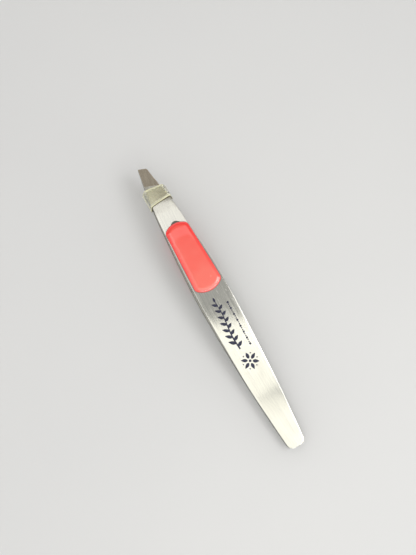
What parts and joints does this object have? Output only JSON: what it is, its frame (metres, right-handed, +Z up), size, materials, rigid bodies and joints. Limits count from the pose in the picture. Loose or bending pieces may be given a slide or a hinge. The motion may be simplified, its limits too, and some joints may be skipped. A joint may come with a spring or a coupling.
{
  "type": "slant tweezers",
  "caption": "Slant-tip tweezers of sprung steel strip: bowed arms joined at the tail, domed coral grip pads, clear protective sleeve on the tip.",
  "frame": {"origin": "on the surface that the tweezers lie on, under the middle of their length and width", "axes": "+X towards the tip, +Y across the arms towards the long corner of the slant, +Z up from the surface. The tweezers' own middle plane leans 4.13 degrees tip-up, because they rest on the tail and on the lower grip pad."},
  "size_m": [0.0949, 0.01, 0.0108],
  "materials": {
    "satin_steel": "satin, brushed along the length",
    "coral_grip": "glossy domed resin",
    "clear_sleeve": "clear, slightly yellowed vinyl"
  },
  "bodies": {
    "lower_arm": {"lower_arm": "satin_steel", "lower_grip_pad": "coral_grip"},
    "upper_arm": {"upper_arm": "satin_steel", "upper_grip_pad": "coral_grip"},
    "tip_sleeve": {"tip_sleeve": "clear_sleeve"}
  },
  "joints": [
    {"name": "arm_squeeze", "type": "hinge", "parent": "lower_arm", "child": "upper_arm", "pos_m": [-0.03045, 0, 0.00332], "axis": [0, 1, 0], "range_deg": [0, 0.85], "stiffness_Nm_per_rad": 0.9, "springref_deg": -0.23},
    {"name": "sleeve_pull", "type": "slide", "parent": "lower_arm", "child": "tip_sleeve", "axis": [0.9974, 0, 0.072], "range_m": [0, 0.03]}
  ]
}
